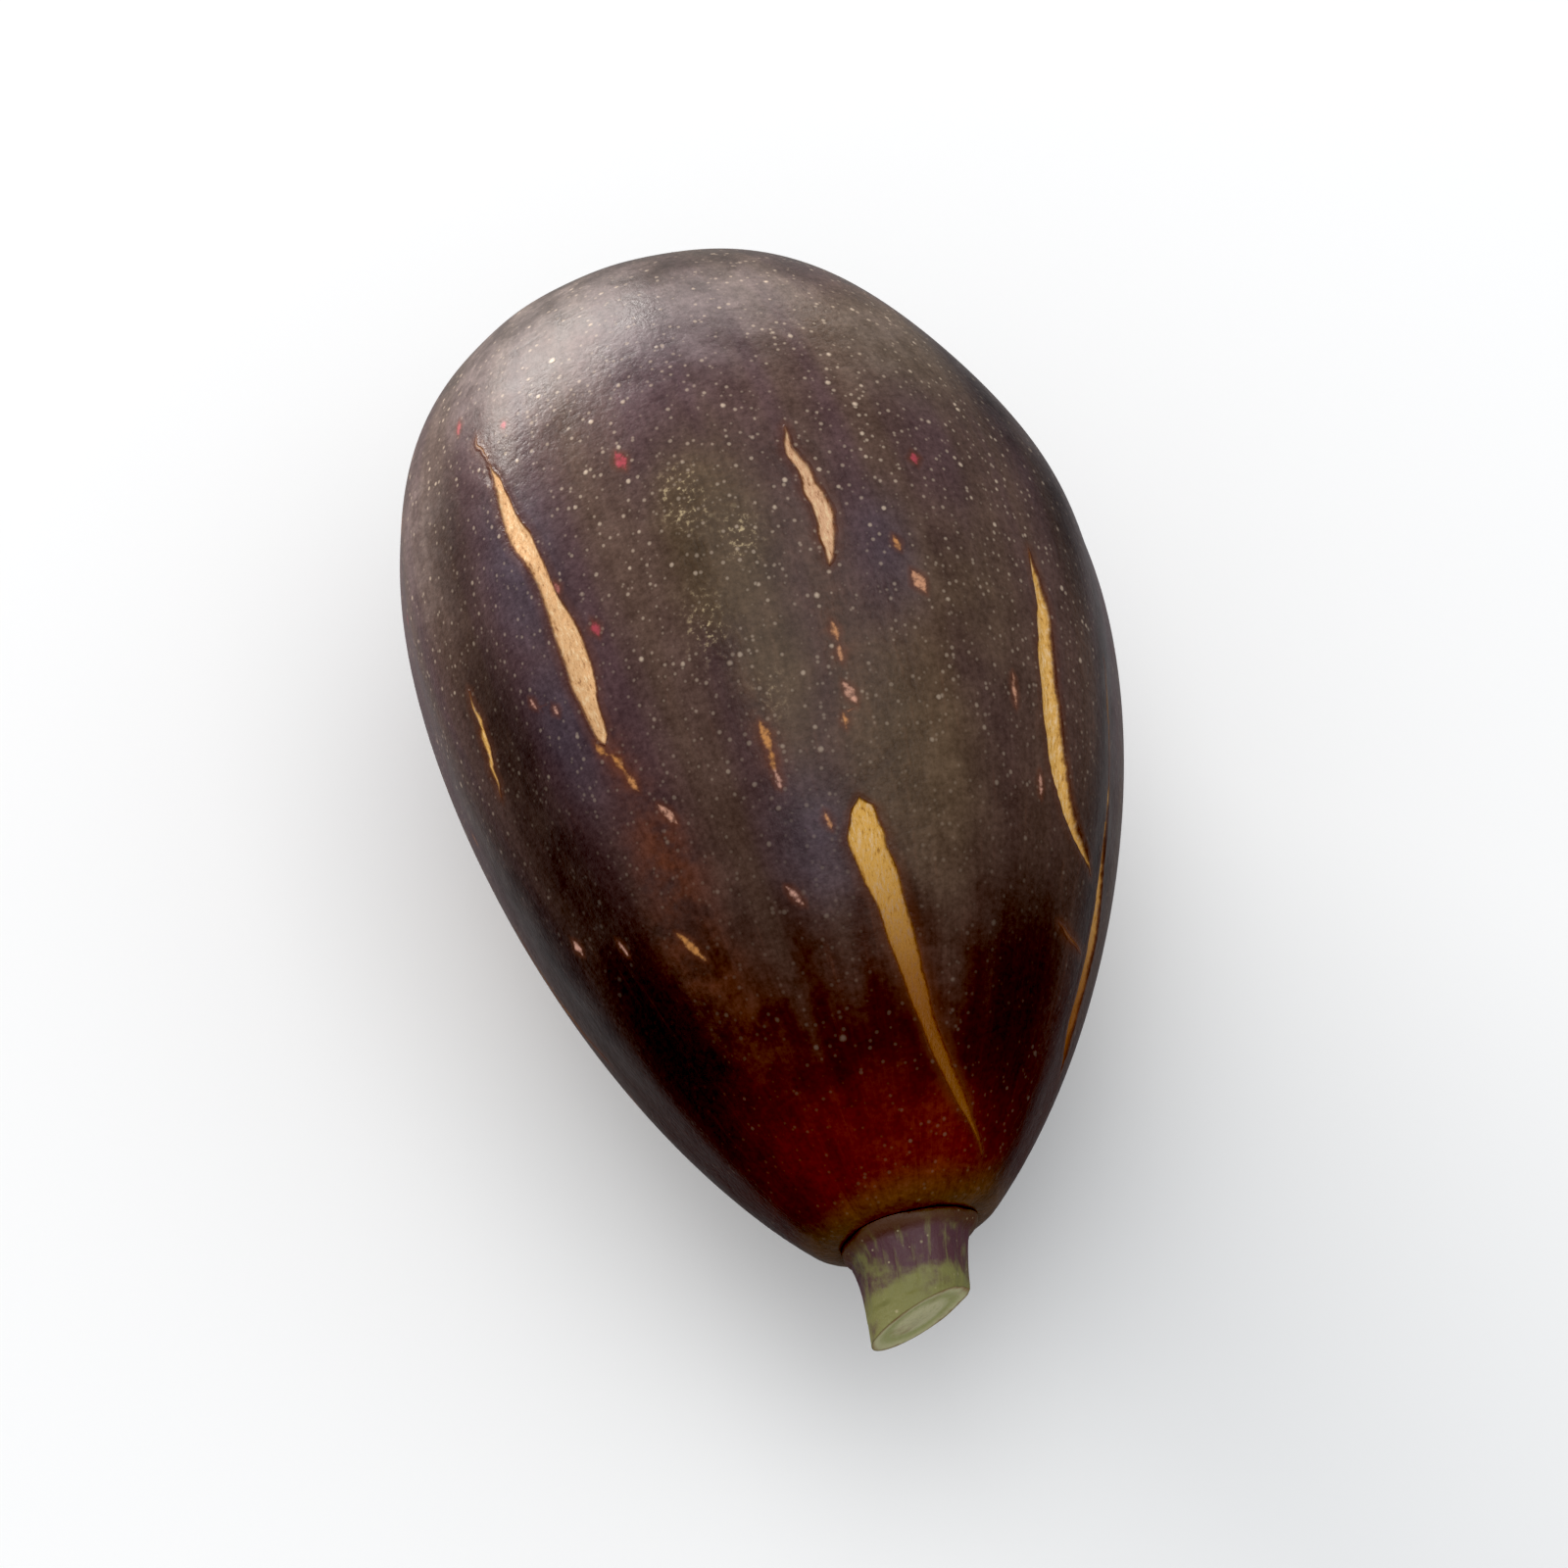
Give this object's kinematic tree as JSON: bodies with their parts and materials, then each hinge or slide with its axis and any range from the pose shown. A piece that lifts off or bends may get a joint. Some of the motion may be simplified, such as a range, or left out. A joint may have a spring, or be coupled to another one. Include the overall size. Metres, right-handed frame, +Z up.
{
  "type": "fresh fig",
  "caption": "Whole fresh fig lying on its side, plum-dark and pear-shaped, with fine skin splits, a small scaly eye at the fat end and a cut stalk stub.",
  "frame": {"origin": "middle of the small flat spot under the belly, on which the fig rests", "axes": "+Z up; +Y along the fig towards its eye, with the neck and stalk towards -Y and drooping 5.5 degrees below level; +X to the right, seen from the stalk"},
  "size_m": [0.0442, 0.0745, 0.0447],
  "materials": {
    "fruit_skin": "satin skin of a ripe dark fig, smooth between fine splits",
    "eye_scale": "dry thin bracts, matte",
    "stalk": "fresh green-purple stalk, satin"
  },
  "bodies": {
    "root": {"fruit": "fruit_skin", "eye_scales": "eye_scale", "stem": "stalk"}
  },
  "joints": []
}
